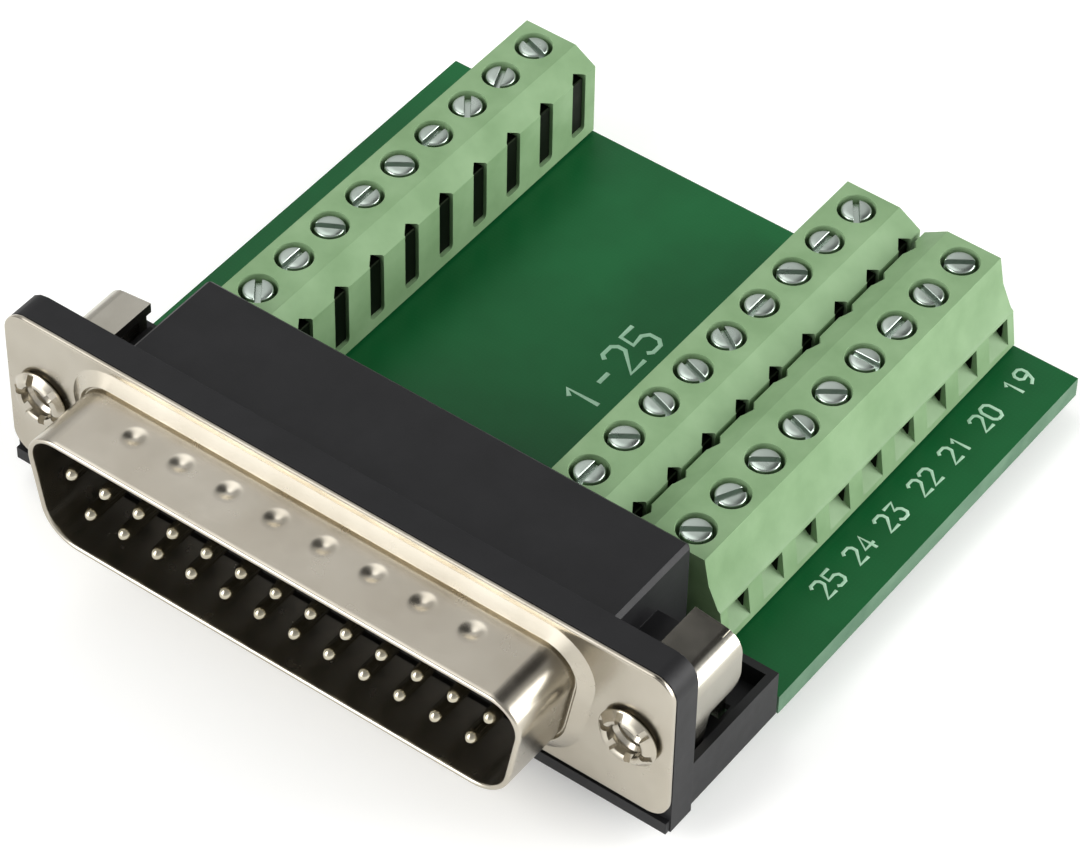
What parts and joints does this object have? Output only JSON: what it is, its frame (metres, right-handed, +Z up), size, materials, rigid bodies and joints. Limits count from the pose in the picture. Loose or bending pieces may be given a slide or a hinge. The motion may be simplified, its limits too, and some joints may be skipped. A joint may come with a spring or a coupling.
{
  "type": "d-sub plug",
  "caption": "Right-angle D-sub plug with round pins on a small circuit board that brings each contact out to a slotted screw terminal.",
  "frame": {"origin": "under the middle of the part's box, on the surface that its solder tails stand on", "axes": "+X along the plug, +Y from the mating side to the board's far edge, +Z up from the board"},
  "size_m": [0.053, 0.0538, 0.0154],
  "materials": {
    "nickel_shell": "nickel plated, drawn sheet",
    "black_moulding": "fine moulded matt",
    "tinned_bracket": "tin plated, folded sheet",
    "contact_metal": "bright plated",
    "green_laminate": "green solder mask on glass laminate",
    "green_moulding": "moulded, satin",
    "screw_steel": "zinc plated"
  },
  "bodies": {
    "root": {"front_shell": "nickel_shell", "connector_housing": "black_moulding", "bracket_left": "tinned_bracket", "bracket_right": "tinned_bracket", "circuit_board": "green_laminate", "terminal_block_left": "green_moulding", "terminal_block_middle": "green_moulding", "terminal_block_right": "green_moulding", "contact_pin_1": "contact_metal", "contact_pin_2": "contact_metal", "contact_pin_3": "contact_metal", "contact_pin_4": "contact_metal", "contact_pin_5": "contact_metal", "contact_pin_6": "contact_metal", "contact_pin_7": "contact_metal", "contact_pin_8": "contact_metal", "contact_pin_9": "contact_metal", "contact_pin_10": "contact_metal", "contact_pin_11": "contact_metal", "contact_pin_12": "contact_metal", "contact_pin_13": "contact_metal", "contact_pin_14": "contact_metal", "contact_pin_15": "contact_metal", "contact_pin_16": "contact_metal", "contact_pin_17": "contact_metal", "contact_pin_18": "contact_metal", "contact_pin_19": "contact_metal", "contact_pin_20": "contact_metal", "contact_pin_21": "contact_metal", "contact_pin_22": "contact_metal", "contact_pin_23": "contact_metal", "contact_pin_24": "contact_metal", "contact_pin_25": "contact_metal"},
    "left_screw_1": {"screw_left_1": "screw_steel"},
    "left_screw_2": {"screw_left_2": "screw_steel"},
    "left_screw_3": {"screw_left_3": "screw_steel"},
    "left_screw_4": {"screw_left_4": "screw_steel"},
    "left_screw_5": {"screw_left_5": "screw_steel"},
    "left_screw_6": {"screw_left_6": "screw_steel"},
    "left_screw_7": {"screw_left_7": "screw_steel"},
    "left_screw_8": {"screw_left_8": "screw_steel"},
    "left_screw_9": {"screw_left_9": "screw_steel"},
    "middle_screw_1": {"screw_middle_1": "screw_steel"},
    "middle_screw_2": {"screw_middle_2": "screw_steel"},
    "middle_screw_3": {"screw_middle_3": "screw_steel"},
    "middle_screw_4": {"screw_middle_4": "screw_steel"},
    "middle_screw_5": {"screw_middle_5": "screw_steel"},
    "middle_screw_6": {"screw_middle_6": "screw_steel"},
    "middle_screw_7": {"screw_middle_7": "screw_steel"},
    "middle_screw_8": {"screw_middle_8": "screw_steel"},
    "middle_screw_9": {"screw_middle_9": "screw_steel"},
    "right_screw_1": {"screw_right_1": "screw_steel"},
    "right_screw_2": {"screw_right_2": "screw_steel"},
    "right_screw_3": {"screw_right_3": "screw_steel"},
    "right_screw_4": {"screw_right_4": "screw_steel"},
    "right_screw_5": {"screw_right_5": "screw_steel"},
    "right_screw_6": {"screw_right_6": "screw_steel"},
    "right_screw_7": {"screw_right_7": "screw_steel"},
    "right_screw_8": {"screw_right_8": "screw_steel"},
    "right_screw_9": {"screw_right_9": "screw_steel"}
  },
  "joints": [
    {"name": "left_screw_1_turn", "type": "hinge", "parent": "root", "child": "left_screw_1", "pos_m": [-0.018, -0.00558, 0.0101], "axis": [0, 0, 1], "range_deg": [0, 1080]},
    {"name": "left_screw_2_turn", "type": "hinge", "parent": "root", "child": "left_screw_2", "pos_m": [-0.018, -0.00178, 0.0101], "axis": [0, 0, 1], "range_deg": [0, 1080]},
    {"name": "left_screw_3_turn", "type": "hinge", "parent": "root", "child": "left_screw_3", "pos_m": [-0.018, 0.00203, 0.0101], "axis": [0, 0, 1], "range_deg": [0, 1080]},
    {"name": "left_screw_4_turn", "type": "hinge", "parent": "root", "child": "left_screw_4", "pos_m": [-0.018, 0.00585, 0.0101], "axis": [0, 0, 1], "range_deg": [0, 1080]},
    {"name": "left_screw_5_turn", "type": "hinge", "parent": "root", "child": "left_screw_5", "pos_m": [-0.018, 0.00966, 0.0101], "axis": [0, 0, 1], "range_deg": [0, 1080]},
    {"name": "left_screw_6_turn", "type": "hinge", "parent": "root", "child": "left_screw_6", "pos_m": [-0.018, 0.01346, 0.0101], "axis": [0, 0, 1], "range_deg": [0, 1080]},
    {"name": "left_screw_7_turn", "type": "hinge", "parent": "root", "child": "left_screw_7", "pos_m": [-0.018, 0.01727, 0.0101], "axis": [0, 0, 1], "range_deg": [0, 1080]},
    {"name": "left_screw_8_turn", "type": "hinge", "parent": "root", "child": "left_screw_8", "pos_m": [-0.018, 0.02108, 0.0101], "axis": [0, 0, 1], "range_deg": [0, 1080]},
    {"name": "left_screw_9_turn", "type": "hinge", "parent": "root", "child": "left_screw_9", "pos_m": [-0.018, 0.0249, 0.0101], "axis": [0, 0, 1], "range_deg": [0, 1080]},
    {"name": "middle_screw_1_turn", "type": "hinge", "parent": "root", "child": "middle_screw_1", "pos_m": [0.00916, -0.00558, 0.0101], "axis": [0, 0, 1], "range_deg": [0, 1080]},
    {"name": "middle_screw_2_turn", "type": "hinge", "parent": "root", "child": "middle_screw_2", "pos_m": [0.00916, -0.00178, 0.0101], "axis": [0, 0, 1], "range_deg": [0, 1080]},
    {"name": "middle_screw_3_turn", "type": "hinge", "parent": "root", "child": "middle_screw_3", "pos_m": [0.00916, 0.00203, 0.0101], "axis": [0, 0, 1], "range_deg": [0, 1080]},
    {"name": "middle_screw_4_turn", "type": "hinge", "parent": "root", "child": "middle_screw_4", "pos_m": [0.00916, 0.00585, 0.0101], "axis": [0, 0, 1], "range_deg": [0, 1080]},
    {"name": "middle_screw_5_turn", "type": "hinge", "parent": "root", "child": "middle_screw_5", "pos_m": [0.00916, 0.00966, 0.0101], "axis": [0, 0, 1], "range_deg": [0, 1080]},
    {"name": "middle_screw_6_turn", "type": "hinge", "parent": "root", "child": "middle_screw_6", "pos_m": [0.00916, 0.01346, 0.0101], "axis": [0, 0, 1], "range_deg": [0, 1080]},
    {"name": "middle_screw_7_turn", "type": "hinge", "parent": "root", "child": "middle_screw_7", "pos_m": [0.00916, 0.01727, 0.0101], "axis": [0, 0, 1], "range_deg": [0, 1080]},
    {"name": "middle_screw_8_turn", "type": "hinge", "parent": "root", "child": "middle_screw_8", "pos_m": [0.00916, 0.02108, 0.0101], "axis": [0, 0, 1], "range_deg": [0, 1080]},
    {"name": "middle_screw_9_turn", "type": "hinge", "parent": "root", "child": "middle_screw_9", "pos_m": [0.00916, 0.0249, 0.0101], "axis": [0, 0, 1], "range_deg": [0, 1080]},
    {"name": "right_screw_1_turn", "type": "hinge", "parent": "root", "child": "right_screw_1", "pos_m": [0.0175, -0.00558, 0.0101], "axis": [0, 0, 1], "range_deg": [0, 1080]},
    {"name": "right_screw_2_turn", "type": "hinge", "parent": "root", "child": "right_screw_2", "pos_m": [0.0175, -0.00178, 0.0101], "axis": [0, 0, 1], "range_deg": [0, 1080]},
    {"name": "right_screw_3_turn", "type": "hinge", "parent": "root", "child": "right_screw_3", "pos_m": [0.0175, 0.00203, 0.0101], "axis": [0, 0, 1], "range_deg": [0, 1080]},
    {"name": "right_screw_4_turn", "type": "hinge", "parent": "root", "child": "right_screw_4", "pos_m": [0.0175, 0.00585, 0.0101], "axis": [0, 0, 1], "range_deg": [0, 1080]},
    {"name": "right_screw_5_turn", "type": "hinge", "parent": "root", "child": "right_screw_5", "pos_m": [0.0175, 0.00966, 0.0101], "axis": [0, 0, 1], "range_deg": [0, 1080]},
    {"name": "right_screw_6_turn", "type": "hinge", "parent": "root", "child": "right_screw_6", "pos_m": [0.0175, 0.01346, 0.0101], "axis": [0, 0, 1], "range_deg": [0, 1080]},
    {"name": "right_screw_7_turn", "type": "hinge", "parent": "root", "child": "right_screw_7", "pos_m": [0.0175, 0.01727, 0.0101], "axis": [0, 0, 1], "range_deg": [0, 1080]},
    {"name": "right_screw_8_turn", "type": "hinge", "parent": "root", "child": "right_screw_8", "pos_m": [0.0175, 0.02108, 0.0101], "axis": [0, 0, 1], "range_deg": [0, 1080]},
    {"name": "right_screw_9_turn", "type": "hinge", "parent": "root", "child": "right_screw_9", "pos_m": [0.0175, 0.0249, 0.0101], "axis": [0, 0, 1], "range_deg": [0, 1080]}
  ]
}
